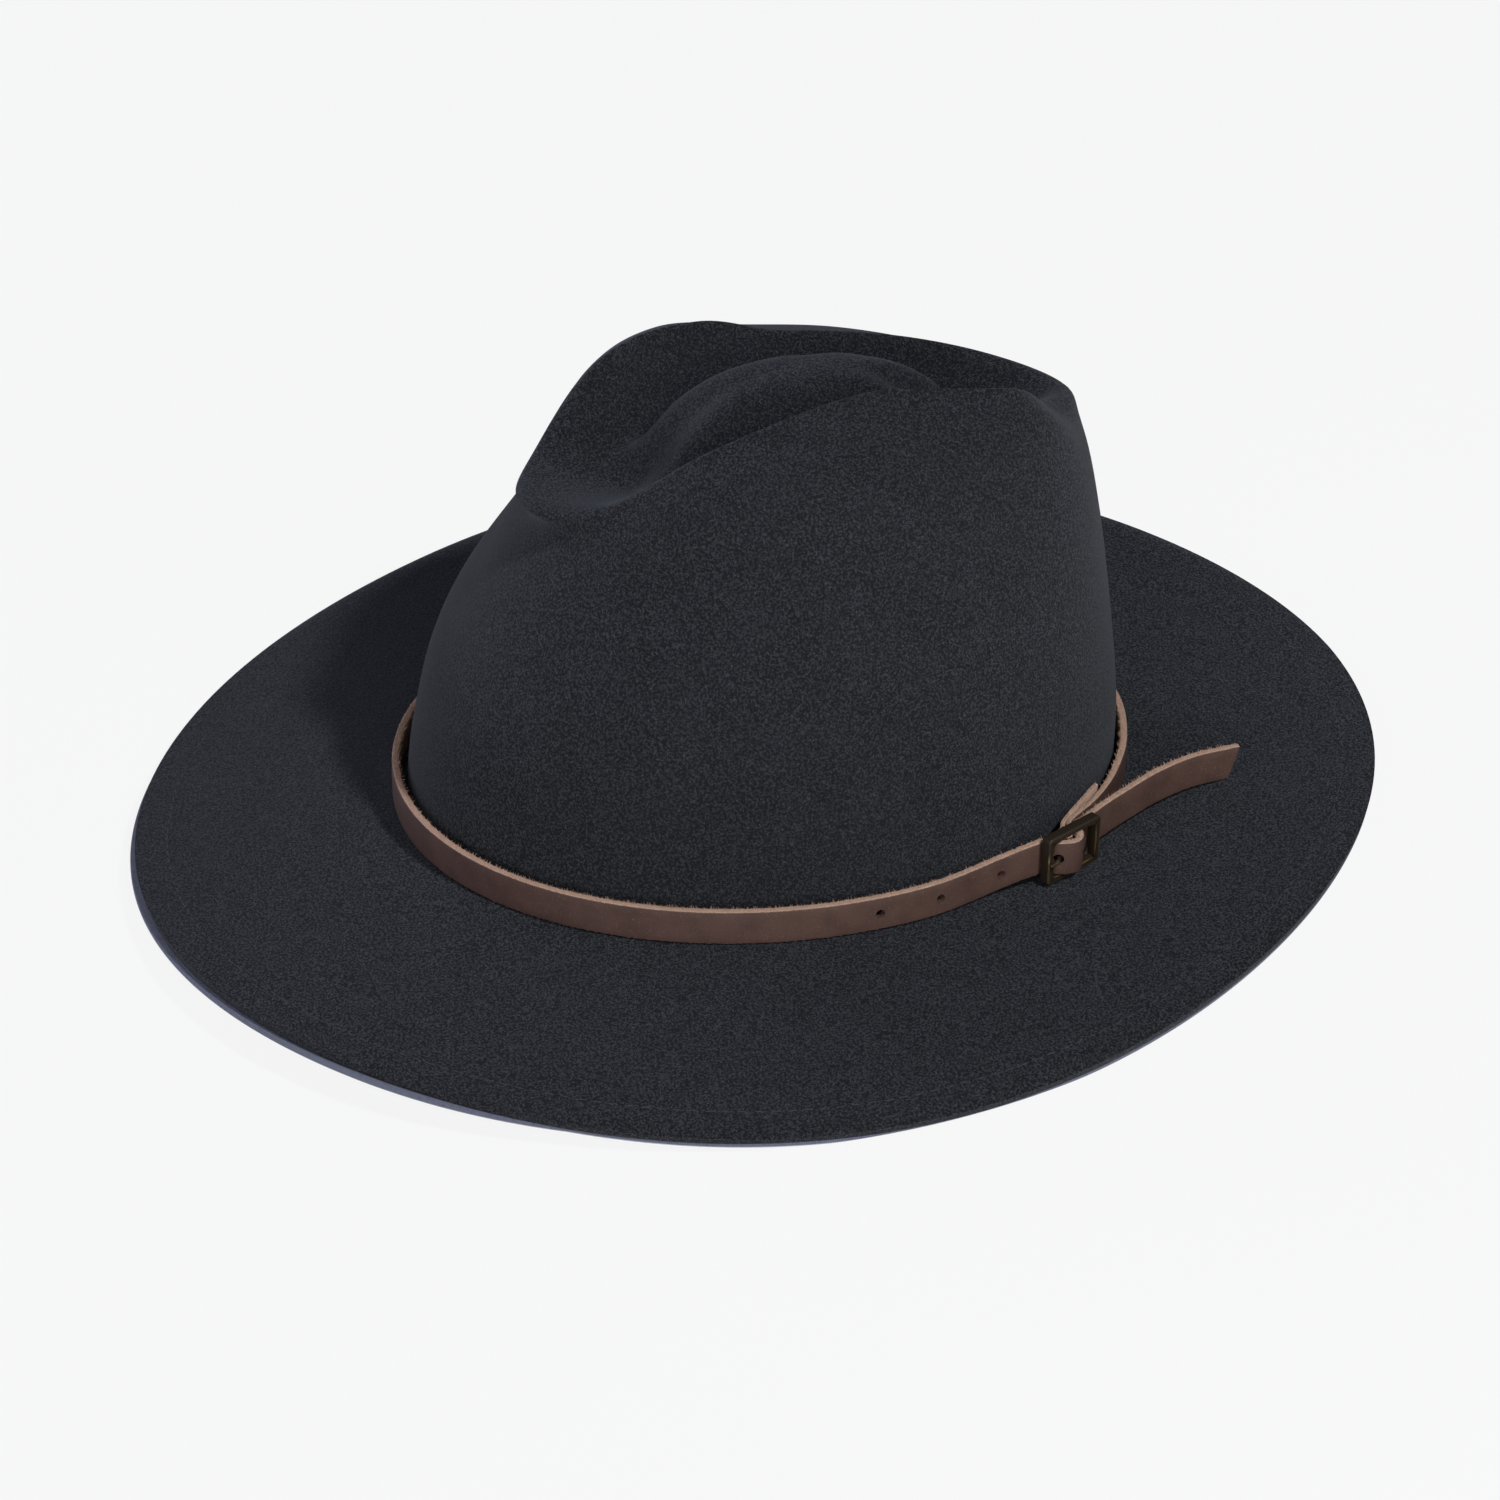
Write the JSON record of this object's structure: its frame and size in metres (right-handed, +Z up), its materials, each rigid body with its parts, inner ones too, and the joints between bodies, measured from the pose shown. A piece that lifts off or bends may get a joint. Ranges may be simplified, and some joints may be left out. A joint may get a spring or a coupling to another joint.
{
  "type": "rancher hat",
  "caption": "Felt rancher hat with a pinched teardrop crown, a wide brim with a ribbon under its edge, and a thin leather belt with a buckle round the crown.",
  "frame": {"origin": "middle of the hat's outline on the floor that the brim rests on", "axes": "+Z up, the front of the hat towards -Y, the wearer's left side with the buckle towards +X"},
  "size_m": [0.323, 0.3504, 0.1407],
  "materials": {
    "felt": "matte brushed wool felt",
    "ribbon": "ribbed, slight sheen",
    "leather": "matte with raw edges",
    "brass": "antique, worn bright on the edges"
  },
  "bodies": {
    "root": {"felt_body": "felt", "edge_tape": "ribbon", "belt_strap": "leather", "buckle_frame": "brass", "buckle_prong": "brass"}
  },
  "joints": []
}
